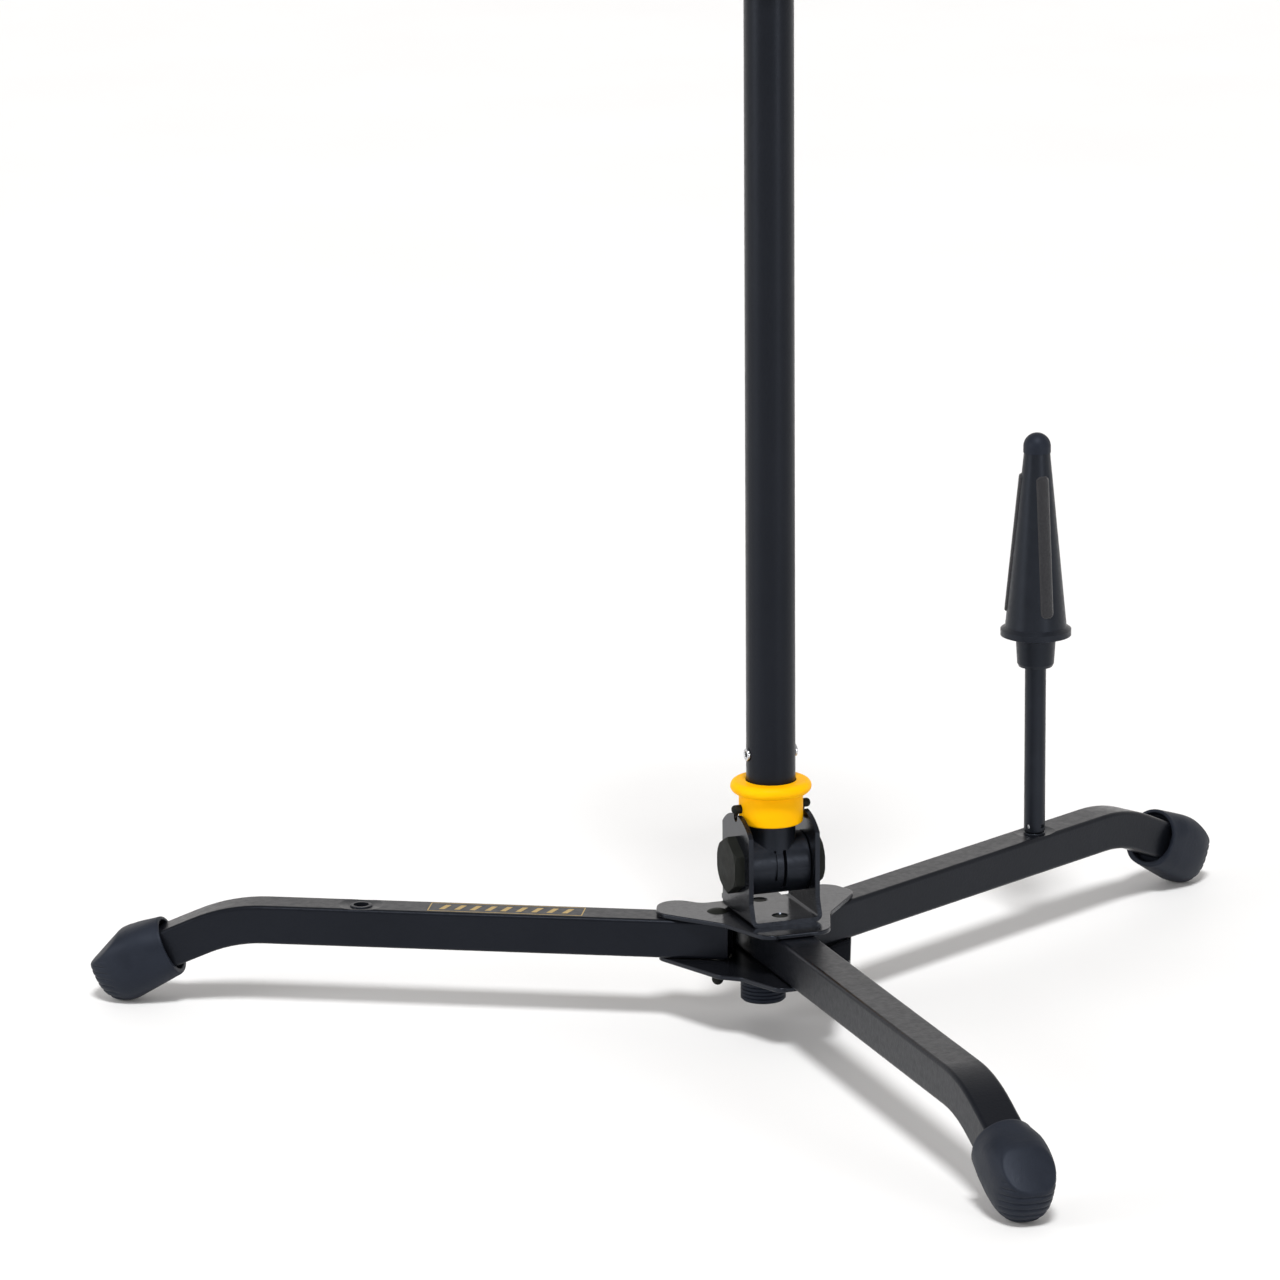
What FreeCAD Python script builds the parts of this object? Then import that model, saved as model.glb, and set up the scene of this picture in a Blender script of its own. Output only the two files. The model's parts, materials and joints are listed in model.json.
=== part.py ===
import FreeCAD, Part
import math
import os
from FreeCAD import Vector

# A folding tripod stand for a trumpet and a larger brass instrument, in millimetres, +Z up.
# The stand is drawn about the axis of its post, with the fixed leg towards -Y and the hinge bolt
# along X. At the end it is moved along Y, so that the origin is under the middle of its footprint.

# Driving dimensions
POST_RADIUS = 15.4            # lower tube
POST_WALL = 1.5
LEG_SIZE = 25.0               # square leg tube
LEG_WALL = 1.5
LEG_CORNER = 2.5
HUB_GAP = 26.0                # clear height between the two hub plates
PLATE = 3.0                   # hub plate thickness
HUB_FLOOR = 42.6              # top face of the lower hub plate
PIVOT_OFFSET = 34.0           # leg swivel rivet to post axis
SPLAY = 28.0                  # angle of the right leg from +X; the left leg mirrors it
PEG_OFFSET = 261.0            # peg socket to post axis
INNER_END = PIVOT_OFFSET - 8.0        # inner end of a swivel leg
SWIVEL_BEND = 322.0           # where a swivel leg starts to turn down
FIXED_BEND = 314.0            # the same for the fixed leg
BEND_RADIUS = 100.0
BEND_ANGLE = 24.0
MOUTH = 23.3                  # from the end of the bend to the mouth of the rubber boot
HINGE_HEIGHT = 105.7          # hinge bolt above the ground
EAR_REACH = 32.5              # rounded top of the hinge ears, from the hinge bolt
EAR_INSIDE = 20.6             # inner faces of the hinge ears, from the post axis
SHEET = 3.0                   # hinge bracket thickness
PIN_RADIUS = 2.8              # lock pin
NOTCH_DEPTH = 4.5
EYELET_HEIGHT = 176.0         # hollow rivet above the ground
POST_TOP = 680.0
INNER_RADIUS = 12.5           # telescoping tube, 25 mm outside
INNER_TOP = 900.0

# Clearances
RUNNING = 0.05                # radial, on pins, bolts and studs
FREE = 0.3                    # between parts that move past each other

EDGE = 0.7                    # rounding of pressed and moulded edges

# Derived places
LEG_MID = HUB_FLOOR + HUB_GAP / 2
LEG_TOP = LEG_MID + LEG_SIZE / 2
SOCKET_TOP = LEG_TOP - 0.1    # rim of a peg socket, in its dimple
HUB_ROOF = HUB_FLOOR + HUB_GAP
HUB_TOP = HUB_ROOF + PLATE
EAR_OUTSIDE = EAR_INSIDE + SHEET
POST_BORE = POST_RADIUS - POST_WALL
TOE = Vector(math.cos(math.radians(BEND_ANGLE)), 0, -math.sin(math.radians(BEND_ANGLE)))
BEND_RUN = BEND_RADIUS * math.sin(math.radians(BEND_ANGLE))
BEND_DROP = BEND_RADIUS * (1 - math.cos(math.radians(BEND_ANGLE)))
PIN_HEIGHT = HINGE_HEIGHT + EAR_REACH + PIN_RADIUS + FREE       # released: just above the ears
LOCKED_PIN = HINGE_HEIGHT + EAR_REACH - NOTCH_DEPTH + PIN_RADIUS
COLLAR_LIFT = 5.0             # how far the collar still lifts from there
FIXED, LEFT, RIGHT = -90.0, 180.0 - SPLAY, SPLAY


def cylinder(radius, low, high, x=0.0, y=0.0):
    """An upright cylinder between two heights."""
    return Part.makeCylinder(radius, high - low, Vector(x, y, low))


def ring(outer, inner, low, high, x=0.0, y=0.0):
    """An upright ring between two heights."""
    return cylinder(outer, low, high, x, y).cut(cylinder(inner, low, high, x, y))


def rod(radius, start, end, height, y=0.0):
    """A cylinder along X."""
    return Part.makeCylinder(radius, end - start, Vector(start, y, height), Vector(1, 0, 0))


def block(x, y, z):
    """A box from three (low, high) pairs."""
    return Part.makeBox(x[1] - x[0], y[1] - y[0], z[1] - z[0], Vector(x[0], y[0], z[0]))


def turned(outline):
    """A solid of revolution about the post axis from (radius, height) points."""
    wire = Part.makePolygon([Vector(r, 0, z) for r, z in outline + outline[:1]])
    return Part.Face(wire).revolve(Vector(0, 0, 0), Vector(0, 0, 1), 360)


def prism_y(outline, half):
    """An (x, z) outline carried along Y, the same way to both sides."""
    wire = Part.makePolygon([Vector(x, -half, z) for x, z in outline + outline[:1]])
    return Part.Face(wire).extrude(Vector(0, 2 * half, 0))


def join(first, *others):
    """One solid from several that overlap."""
    return first.fuse(list(others)).removeSplitter()


def around(shape, angle):
    """A copy turned about the post axis from +X to the given angle."""
    copy = shape.copy()
    copy.rotate(Vector(0, 0, 0), Vector(0, 0, 1), angle)
    return copy


def at_pivot(angle, radius=PIVOT_OFFSET):
    """The point on the leg's line at a radius from the post axis."""
    return radius * math.cos(math.radians(angle)), radius * math.sin(math.radians(angle))


def level(edge):
    """Whether an edge lies at one height."""
    return edge.BoundBox.ZLength < 0.01


def upright_edge(shape, x, y):
    """The vertical edge of a plate at a corner."""
    for edge in shape.Edges:
        middle = edge.CenterOfMass
        if not level(edge) and math.hypot(middle.x - x, middle.y - y) < 0.1:
            return edge


# Legs and boots

def rounded_square(size, corner):
    """A square face with round corners in the YZ plane, centred on the X axis."""
    inset = size / 2 - corner
    corners = []
    for side_y, side_z, start in ((1, 1, 0), (-1, 1, 90), (-1, -1, 180), (1, -1, 270)):
        angles = [math.radians(start + step) for step in (0, 45, 90)]
        corners.append([Vector(0, side_y * inset + corner * math.cos(a),
                               side_z * inset + corner * math.sin(a)) for a in angles])
    edges = []
    for here, there in zip(corners, corners[1:] + corners[:1]):
        edges.append(Part.Arc(*here).toShape())
        edges.append(Part.LineSegment(here[2], there[0]).toShape())
    return Part.Face(Part.Wire(edges))


def bent_bar(size, corner, start, bend_start, toe_length):
    """A square bar along +X that turns down at its bend."""
    face = rounded_square(size, corner)
    face.translate(Vector(start, 0, LEG_MID))
    straight = face.extrude(Vector(bend_start - start, 0, 0))
    face.translate(Vector(bend_start - start, 0, 0))
    centre = Vector(bend_start, 0, LEG_MID - BEND_RADIUS)
    bend = face.revolve(centre, Vector(0, 1, 0), BEND_ANGLE)
    face.rotate(centre, Vector(0, 1, 0), BEND_ANGLE)
    return join(straight, bend, face.extrude(TOE * toe_length))


def leg_tube(start, bend_start):
    """A hollow leg along +X, from its inner end to inside its boot."""
    toe_length = MOUTH + GRIP - 2.0
    outer = bent_bar(LEG_SIZE, LEG_CORNER, start, bend_start, toe_length)
    inner = bent_bar(2 * LEG_INNER, LEG_CORNER - LEG_WALL, start - 1, bend_start, toe_length + 1)
    return outer.cut(inner)


LEG_INNER = LEG_SIZE / 2 - LEG_WALL
SOCKET_RADIUS = 10.7
SOCKET_NECK = 7.1
THREAD_RADIUS = 4.9
DISH_RADIUS, DISH_DEPTH = 14.0, 1.3       # dimple pressed round the neck of the socket
BACKING = 1.6                             # plate inside the leg under the dimple
SOCKET_LOW = LEG_MID - LEG_INNER + LEG_CORNER - LEG_WALL
THREAD_LOW = SOCKET_LOW + 2.5


def swivel_leg(angle):
    """A swivel leg with its rivet holes, and the backed dimple round its peg socket."""
    backing_top = LEG_TOP - LEG_WALL
    backing = block((PEG_OFFSET - DISH_RADIUS, PEG_OFFSET + DISH_RADIUS), (-LEG_INNER, LEG_INNER),
                    (backing_top - BACKING, backing_top))
    leg = join(leg_tube(INNER_END, SWIVEL_BEND), backing)
    sphere = (DISH_RADIUS ** 2 + DISH_DEPTH ** 2) / (2 * DISH_DEPTH)
    leg = leg.cut(Part.makeSphere(sphere, Vector(PEG_OFFSET, 0, LEG_TOP - DISH_DEPTH + sphere)))
    leg = leg.cut(cylinder(SOCKET_NECK + 0.1, LEG_MID, LEG_TOP + 1, PEG_OFFSET))
    leg = leg.cut(cylinder(RIVET_RADIUS + RUNNING, 0, LEG_TOP + 1, PIVOT_OFFSET))
    return around(leg, angle)


def peg_socket(angle):
    """A bush inside the leg with a blind thread for a peg, and a neck that shows on top."""
    shoulder = LEG_TOP - LEG_WALL - BACKING - 0.1
    neck = cylinder(SOCKET_NECK, LEG_MID, SOCKET_TOP, PEG_OFFSET)
    rim = [edge for edge in neck.Edges if level(edge) and edge.BoundBox.ZMin > SOCKET_TOP - 0.1]
    body = join(cylinder(SOCKET_RADIUS, SOCKET_LOW, shoulder, PEG_OFFSET), neck.makeFillet(EDGE, rim))
    body = body.cut(cylinder(THREAD_RADIUS, THREAD_LOW, LEG_TOP + 1, PEG_OFFSET))
    return around(body, angle)


# Rubber boots, drawn with the mouth at the origin and the toe along +X
BOOT_MOUTH_RADIUS = 19.0
BOOT_BALL = 21.8                          # round toe that stands on the floor
BALL_AT, BALL_DROP = 32.5, 3.0            # its centre, along and below the leg's line
BOOT_HALF_WIDTH = 19.6                    # flats on its two sides
BOOT_SIDE = [(0.0, -30.0), (0.0, 36.8), (60.0, 3.3), (60.0, -30.0)]     # mouth, and bevel over the toe
LIP_RADIUS, LIP = 16.6, 5.0               # round recess in the mouth
GRIP = 29.0                               # depth of the square hole


def boot(angle, bend_start):
    """A rubber boot: a flared round body on a ball toe, bevelled above, with a square socket."""
    flare = Part.makeCone(BOOT_MOUTH_RADIUS, BOOT_BALL - 0.4, BALL_AT, Vector(0, 0, 0), Vector(1, 0, 0))
    body = join(flare, Part.makeSphere(BOOT_BALL, Vector(BALL_AT, 0, -BALL_DROP)))
    body = body.common(prism_y(BOOT_SIDE, BOOT_HALF_WIDTH))
    grip = rounded_square(LEG_SIZE + 0.2, LEG_CORNER).extrude(Vector(GRIP, 0, 0))
    body = body.cut(join(grip, Part.makeCylinder(LIP_RADIUS, LIP, Vector(0, 0, 0), Vector(1, 0, 0))))
    body.rotate(Vector(0, 0, 0), Vector(0, 1, 0), BEND_ANGLE)
    body.translate(Vector(bend_start + BEND_RUN, 0, LEG_MID - BEND_DROP) + TOE * MOUTH)
    return around(body.cut(block((0, 500), (-50, 50), (-50, 0))), angle)


# Hub

RIVET_RADIUS = 4.0
FIXED_RIVETS = (-16.0, 21.0)  # fixed leg rivets, along Y
SINK, SINK_RADIUS = 1.8, 5.4  # countersunk rivet heads
HEAD_DROP = 0.7               # of those heads below the face of the bracket
TAIL_DROP, TAIL_RADIUS = 2.4, 5.2
WASHER = (HUB_GAP - LEG_SIZE) / 2
WASHER_RADIUS = 9.0
# Right half of each plate from front to back: x, y, corner radius
TOP_OUTLINE = [(21.5, -47.5, 13.0), (35.0, -12.0, 25.0), (67.3, 26.5, 13.0), (54.0, 59.5, 13.0),
               (32.5, 36.5, 10.0)]
BOTTOM_OUTLINE = [(19.5, -64.0, 7.0), (32.5, -33.0, 9.0), (44.0, -24.0, 10.0), (65.0, 28.0, 9.0),
                  (53.6, 56.0, 13.0), (32.5, 36.5, 10.0)]
TAB_HALF, TAB_BACK = 18.0, 36.5     # spacer tab behind the fixed leg


def hub_plate(low, outline):
    """A three-lobed plate with rounded edges and holes for its four rivets."""
    corners = outline + [(-x, y, radius) for x, y, radius in reversed(outline)]
    wire = Part.makePolygon([Vector(x, y, low) for x, y, radius in corners + corners[:1]])
    plate = Part.Face(wire).extrude(Vector(0, 0, PLATE))
    for x, y, radius in corners:
        plate = plate.makeFillet(radius, [upright_edge(plate, x, y)])
    plate = plate.makeFillet(EDGE, [edge for edge in plate.Edges if level(edge)])
    for x, y in rivet_places():
        plate = plate.cut(cylinder(RIVET_RADIUS + RUNNING, low, low + PLATE, x, y))
    return plate


def bottom_plate():
    """The lower plate, with a tab turned up behind the fixed leg to space it from the upper one."""
    low = HUB_FLOOR - PLATE + EDGE
    tab = block((-TAB_HALF, TAB_HALF), (TAB_BACK - PLATE, TAB_BACK), (low, HUB_ROOF - FREE))
    tab = tab.makeFillet(EDGE, [edge for edge in tab.Edges if edge.CenterOfMass.z > HUB_FLOOR])
    return join(hub_plate(HUB_FLOOR - PLATE, BOTTOM_OUTLINE), tab)


def rivet_places():
    """The four rivets: two through the fixed leg, one at each swivel leg."""
    return [(0, y) for y in FIXED_RIVETS] + [at_pivot(LEFT), at_pivot(RIGHT)]


def fixed_leg():
    """The leg that is riveted between the plates, from behind the post to its boot."""
    back, shim_end = -30.0, 40.0
    flat = LEG_SIZE / 2 - LEG_CORNER
    shim = block((back, shim_end), (-flat, flat), (HUB_FLOOR, HUB_ROOF))
    hollow = block((back - 1, shim_end + 1), (-flat, flat), (LEG_MID - LEG_INNER, LEG_MID + LEG_INNER))
    leg = join(leg_tube(back, FIXED_BEND), shim.cut(hollow))
    for y in FIXED_RIVETS:
        leg = leg.cut(cylinder(RIVET_RADIUS + RUNNING, HUB_FLOOR - 1, HUB_ROOF + 1, -y))
    return around(leg, FIXED)


def fixed_rivets():
    """Two countersunk rivets that hold bracket, plates and fixed leg together."""
    top = HUB_TOP + SHEET
    rivets = []
    for y in FIXED_RIVETS:
        shank = cylinder(RIVET_RADIUS, HUB_FLOOR - PLATE - TAIL_DROP, top - HEAD_DROP, 0, y)
        head = Part.makeCone(RIVET_RADIUS, SINK_RADIUS, SINK, Vector(0, y, top - SINK))
        head = head.common(cylinder(SINK_RADIUS, top - SINK, top - HEAD_DROP, 0, y))
        tail = cylinder(TAIL_RADIUS, HUB_FLOOR - PLATE - TAIL_DROP, HUB_FLOOR - PLATE, 0, y)
        rivets.append(join(shank, head, tail))
    return Part.makeCompound(rivets)


def pivot_rivet(angle):
    """A swivel rivet: low domed head on the top plate and a long tail with a round end below."""
    x, y = at_pivot(angle)
    head_radius, head_rise, dome = 6.6, 1.9, 12.5
    tail_radius, tail_low = 3.7, 27.2
    shank = cylinder(RIVET_RADIUS, HUB_FLOOR - PLATE, HUB_TOP + 0.5, x, y)
    sphere = Part.makeSphere(dome, Vector(x, y, HUB_TOP + head_rise - dome))
    head = sphere.common(cylinder(head_radius, HUB_TOP, HUB_TOP + head_rise + 1, x, y))
    tail = cylinder(tail_radius, tail_low, HUB_FLOOR, x, y)
    return join(shank, head, tail, Part.makeSphere(tail_radius, Vector(x, y, tail_low)))


def leg_washers(angle):
    """Thin washers above and below a swivel leg."""
    x, y = at_pivot(angle)
    bore = RIVET_RADIUS + RUNNING
    low = ring(WASHER_RADIUS, bore, HUB_FLOOR, HUB_FLOOR + WASHER, x, y)
    high = ring(WASHER_RADIUS, bore, HUB_ROOF - WASHER, HUB_ROOF, x, y)
    return Part.makeCompound([low, high])


def rear_bumper():
    """A finely ribbed rubber buffer under the hub, pushed over the tail of the rear rivet."""
    low, top, radius = 11.6, HUB_FLOOR - PLATE, 14.3
    centre, chamfer, groove, step, ribs = 14.5, 1.2, 0.6, 2.4, 9
    outline = [(0, low), (radius - chamfer, low)]
    for k in range(ribs):
        height = low + chamfer + k * step
        outline += [(radius, height), (radius, height + step - 1.0), (radius - groove, height + step - 0.5)]
    outline += [(radius, low + chamfer + ribs * step), (radius, top), (0, top)]
    body = turned(outline)
    body.translate(Vector(0, centre, 0))
    return body.cut(cylinder(TAIL_RADIUS + 0.2, top - TAIL_DROP - 0.6, top, 0, FIXED_RIVETS[1]))


# Hinge

EAR_HALF = 23.6
EAR_WAIST = 86.0              # where the front edge of an ear starts to widen
FOOT_FRONT = 28.0
TONGUE_HALF, TONGUE_BACK = 17.0, 43.0     # the floor runs on behind the ears
BEND_OUTSIDE = 5.0
BOLT_RADIUS = 5.0
HEX = 32.0                    # across flats
HEX_THICK = 6.5
BARREL_RADIUS = 17.5
HEEL = 2.6                    # the barrel is that much taller below the bolt
BUSH_RADIUS = 7.0


def ear(x):
    """A hinge ear from one x: upright back, wider foot in front, rounded top about the bolt."""
    shoulder = HINGE_HEIGHT + math.sqrt(EAR_REACH ** 2 - EAR_HALF ** 2)
    points = [(EAR_HALF, shoulder), (EAR_HALF, HUB_TOP), (-FOOT_FRONT, HUB_TOP),
              (-FOOT_FRONT, HUB_TOP + SHEET), (-EAR_HALF, EAR_WAIST), (-EAR_HALF, shoulder)]
    points = [Vector(x, y, z) for y, z in points]
    edges = [Part.LineSegment(a, b).toShape() for a, b in zip(points, points[1:])]
    edges.append(Part.Arc(points[-1], Vector(x, 0, HINGE_HEIGHT + EAR_REACH), points[0]).toShape())
    return Part.Face(Part.Wire(edges)).extrude(Vector(SHEET, 0, 0))


def runs_along_y(edge, x, z):
    """Whether an edge lies along Y at one distance from the post axis and one height."""
    box = edge.BoundBox
    straight = box.XLength < 0.01 and box.ZLength < 0.01 and box.YLength > 20
    return straight and abs(abs(box.XMin) - x) < 0.01 and abs(box.ZMin - z) < 0.01


def hinge_bracket():
    """The folded bracket: a floor riveted to the hub, with a tongue behind, and two notched ears."""
    floor_top = HUB_TOP + SHEET
    floor = block((-EAR_OUTSIDE, EAR_OUTSIDE), (-FOOT_FRONT, EAR_HALF), (HUB_TOP, floor_top))
    tongue = block((-TONGUE_HALF, TONGUE_HALF), (EAR_HALF - 1, TONGUE_BACK), (HUB_TOP, floor_top))
    bracket = join(floor, tongue, ear(-EAR_OUTSIDE), ear(EAR_INSIDE))
    outer = [edge for edge in bracket.Edges if runs_along_y(edge, EAR_OUTSIDE, HUB_TOP)]
    bracket = bracket.makeFillet(BEND_OUTSIDE, outer)
    inner = [edge for edge in bracket.Edges if runs_along_y(edge, EAR_INSIDE, floor_top)]
    bracket = bracket.makeFillet(BEND_OUTSIDE - SHEET, inner)
    notch = join(rod(PIN_RADIUS + FREE, -40, 40, LOCKED_PIN),
                 block((-40, 40), (-PIN_RADIUS - FREE, PIN_RADIUS + FREE), (LOCKED_PIN, LOCKED_PIN + 20)))
    bracket = bracket.cut(notch).cut(rod(BOLT_RADIUS + RUNNING, -40, 40, HINGE_HEIGHT))
    for y in FIXED_RIVETS:
        bracket = bracket.cut(cylinder(RIVET_RADIUS + RUNNING, HUB_TOP - 1, floor_top + 1, 0, y))
        bracket = bracket.cut(Part.makeCone(RIVET_RADIUS, SINK_RADIUS, SINK, Vector(0, y, floor_top - SINK)))
    return bracket


def hexagon(start, end, outer_face):
    """A hexagon across X with corners up and down, and its outer face chamfered."""
    corner = HEX / math.sqrt(3)
    points = [Vector(start, corner * math.sin(math.radians(60 * k)),
                     HINGE_HEIGHT + corner * math.cos(math.radians(60 * k))) for k in range(7)]
    body = Part.Face(Part.makePolygon(points)).extrude(Vector(end - start, 0, 0))
    inward = Vector(1 if outer_face == start else -1, 0, 0)
    chamfer = Part.makeCone(HEX / 2 + 0.4, HEX / 2 + 12.4, 7.2, Vector(outer_face, 0, HINGE_HEIGHT), inward)
    return body.common(chamfer)


def pivot_bolt():
    """The hinge bolt, with its large hexagon head on the left."""
    outside = -EAR_OUTSIDE - HEX_THICK
    shank = rod(BOLT_RADIUS, -EAR_OUTSIDE - 1, EAR_OUTSIDE + HEX_THICK - 0.5, HINGE_HEIGHT)
    return join(hexagon(outside, -EAR_OUTSIDE, outside), shank)


def pivot_nut():
    """The matching nut on the right."""
    outside = EAR_OUTSIDE + HEX_THICK
    nut = hexagon(EAR_OUTSIDE, outside, outside)
    return nut.cut(rod(BOLT_RADIUS + 0.02, EAR_OUTSIDE - 1, outside + 1, HINGE_HEIGHT))


TUBE_FOOT = 133.5             # lower end of the post tube
PLUG_TOP = 186.0
SPRING_ROOM = 6.6             # radius of the bore in the plug
RIB_HALF = 2.2                # rib down the front of the barrel
RIB_GROOVE = 0.8              # depth of the band that the rib stands in
SLOT_WIDTH, SLOT_DEPTH = 2.1, 9.5


def post_knuckle():
    """The moulded hinge barrel, and the neck that runs up from it into the foot of the tube."""
    half = EAR_INSIDE - FREE
    barrel = join(rod(BARREL_RADIUS, -half, half, HINGE_HEIGHT),
                  rod(BARREL_RADIUS, -half, half, HINGE_HEIGHT - HEEL))
    ends = [edge for edge in barrel.Edges if edge.BoundBox.XLength < 0.01]
    barrel = barrel.makeFillet(EDGE, ends)
    neck = cylinder(POST_RADIUS - 0.1, HINGE_HEIGHT, TUBE_FOOT)
    plug = cylinder(POST_BORE - 0.05, TUBE_FOOT - 1.0, PLUG_TOP)
    body = join(barrel, neck, plug)
    low, high = HINGE_HEIGHT - 14.0, HINGE_HEIGHT + 10.5
    slot = block((RIB_HALF, RIB_HALF + SLOT_WIDTH), (-half, SLOT_DEPTH - BARREL_RADIUS), (low, high))
    band = rod(BARREL_RADIUS + 1.0, -RIB_HALF - 1.5, -RIB_HALF, HINGE_HEIGHT)
    band = band.cut(rod(BARREL_RADIUS - RIB_GROOVE, -half, half, HINGE_HEIGHT))
    body = body.cut(band.common(block((-half, half), (-half, 0), (low, high)))).cut(slot)
    body = body.cut(rod(BUSH_RADIUS, -half, half, HINGE_HEIGHT))
    body = body.cut(cylinder(SPRING_ROOM, LOCKED_PIN, PLUG_TOP))
    body = body.cut(pin_slot(20.0))
    return body.cut(rod(EYELET_RADIUS + RUNNING, -20, 20, EYELET_HEIGHT))


def pin_slot(reach):
    """The room across the post in which the lock pin rises and falls."""
    half = PIN_RADIUS + FREE
    return block((-reach, reach), (-half, half), (TUBE_FOOT - 0.1, PIN_HEIGHT + COLLAR_LIFT + half))


def hinge_bushes():
    """Two nylon bushes between the bolt and the barrel."""
    half = EAR_INSIDE - FREE
    bushes = [rod(BUSH_RADIUS - 0.02, x, x + 15.0, HINGE_HEIGHT) for x in (-half, half - 15.0)]
    bore = rod(BOLT_RADIUS + RUNNING, -half, half, HINGE_HEIGHT)
    return Part.makeCompound([bush.cut(bore) for bush in bushes])


# Post, lock and collar

EYELET_RADIUS = 2.9
SEAT_TOP = EYELET_HEIGHT - EYELET_RADIUS - 0.1
SEAT = 1.5
CUP_LOW = PIN_HEIGHT + PIN_RADIUS
CLAMP_SCREW_HEIGHT = 667.0
SCREW_RADIUS = 4.0


def post_tube():
    """The lower tube, slotted at its foot for the lock pin."""
    tube = ring(POST_RADIUS, POST_BORE, TUBE_FOOT, POST_TOP)
    tube = tube.cut(pin_slot(20.0))
    tube = tube.cut(rod(EYELET_RADIUS + RUNNING, -20, 20, EYELET_HEIGHT))
    return tube.cut(rod(SCREW_RADIUS + 0.4, 10, 20, CLAMP_SCREW_HEIGHT))


def retaining_rivet():
    """A hollow rivet across the tube, with a rolled rim at each end."""
    rims = [rod(4.0, x, x + 1.3, EYELET_HEIGHT) for x in (-POST_RADIUS - 1.3, POST_RADIUS)]
    body = join(rod(EYELET_RADIUS, -POST_RADIUS, POST_RADIUS, EYELET_HEIGHT), *rims)
    body = body.cut(rod(2.0, -20, 20, EYELET_HEIGHT))
    mouths = [edge for edge in body.Edges if abs(edge.BoundBox.XMin) > POST_RADIUS + 1.2]
    return body.makeFillet(0.6, mouths)


def spring_seat():
    """The washer that stops the spring under the hollow rivet."""
    return ring(6.3, 2.5, SEAT_TOP - SEAT, SEAT_TOP)


def spring_cup():
    """The cup on top of the lock pin that the spring pushes down on."""
    return ring(6.2, 2.0, CUP_LOW, CUP_LOW + SEAT)


def lock_spring():
    """A compression spring between cup and seat."""
    wire, coil, turns = 0.6, 4.6, 7
    low, high = CUP_LOW + SEAT + wire, SEAT_TOP - SEAT - wire
    path = Part.makeHelix((high - low) / turns, high - low, coil)
    circle = Part.Circle(Vector(coil, 0, 0), Vector(0, 1, 0), wire).toShape()
    spring = Part.Wire(path.Edges).makePipeShell([Part.Wire(circle)], True, True)
    spring.translate(Vector(0, 0, low))
    return spring


COLLAR_BELOW_PIN = 9.5
COLLAR_BORE = POST_RADIUS + 0.6
SKIRT = 20.1
RIM_RADIUS = 25.4
COLLAR_HEIGHT = 27.0
RIM_HALF = 4.0


def release_collar():
    """The sleeve round the post: a straight skirt under a thick round rim, with the pin across it."""
    low = PIN_HEIGHT - COLLAR_BELOW_PIN
    rim_mid = low + COLLAR_HEIGHT - RIM_HALF
    skirt = ring(SKIRT, COLLAR_BORE, low, low + COLLAR_HEIGHT)
    skirt = skirt.makeFillet(1.2, [e for e in skirt.Edges if e.BoundBox.ZMax < low + 0.1
                                   and e.BoundBox.XLength > 2 * SKIRT - 1])
    rim = Part.makeTorus(RIM_RADIUS - RIM_HALF, RIM_HALF, Vector(0, 0, rim_mid))
    web = cylinder(RIM_RADIUS - RIM_HALF, rim_mid - RIM_HALF, rim_mid + RIM_HALF)
    collar = join(skirt, rim, web).cut(cylinder(COLLAR_BORE, low - 1, low + COLLAR_HEIGHT + 1))
    return collar.cut(rod(PIN_RADIUS, -30, 30, PIN_HEIGHT))


def lock_pin():
    """The steel cross pin with round ends that drops into the notches of the ears."""
    reach = EAR_OUTSIDE + 2.4
    pin = rod(PIN_RADIUS, -reach, reach, PIN_HEIGHT)
    ends = [edge for edge in pin.Edges if edge.BoundBox.XLength < 0.1]
    return pin.makeFillet(PIN_RADIUS - 0.6, ends)


# Height clamp

CLAMP_LOW = POST_TOP - 28.0
CLAMP_TOP = POST_TOP + 8.0
CLAMP_RADIUS = 20.5
BOSS_END = 31.0


def clamp_collar():
    """The moulded head of the lower tube, with a boss for the clamp screw."""
    body = turned([(POST_RADIUS + 0.05, CLAMP_LOW), (CLAMP_RADIUS - 2.5, CLAMP_LOW),
                   (CLAMP_RADIUS, CLAMP_LOW + 5), (CLAMP_RADIUS, CLAMP_TOP - 3),
                   (CLAMP_RADIUS - 3, CLAMP_TOP), (INNER_RADIUS + 0.5, CLAMP_TOP),
                   (INNER_RADIUS + 0.5, POST_TOP + 3.1), (POST_RADIUS + 0.05, POST_TOP + 3.1)])
    boss = rod(10.0, POST_RADIUS + 1, BOSS_END, CLAMP_SCREW_HEIGHT)
    boss = boss.cut(cylinder(POST_RADIUS + 0.05, CLAMP_LOW - 5, CLAMP_TOP))
    body = join(body, boss).cut(rod(SCREW_RADIUS + 0.4, 10, 40, CLAMP_SCREW_HEIGHT))
    return body.cut(rod(6.6, 20.0, 25.0, CLAMP_SCREW_HEIGHT))


def clamp_nut():
    """The round threaded insert in the boss."""
    insert = rod(6.5, 20.1, 24.9, CLAMP_SCREW_HEIGHT)
    return insert.cut(rod(SCREW_RADIUS + RUNNING, 19, 26, CLAMP_SCREW_HEIGHT))


def clamp_screw():
    """The clamp screw, which turns with its knob and stops just short of the inner tube."""
    return rod(SCREW_RADIUS, INNER_RADIUS + 0.4, 44.0, CLAMP_SCREW_HEIGHT)


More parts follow.
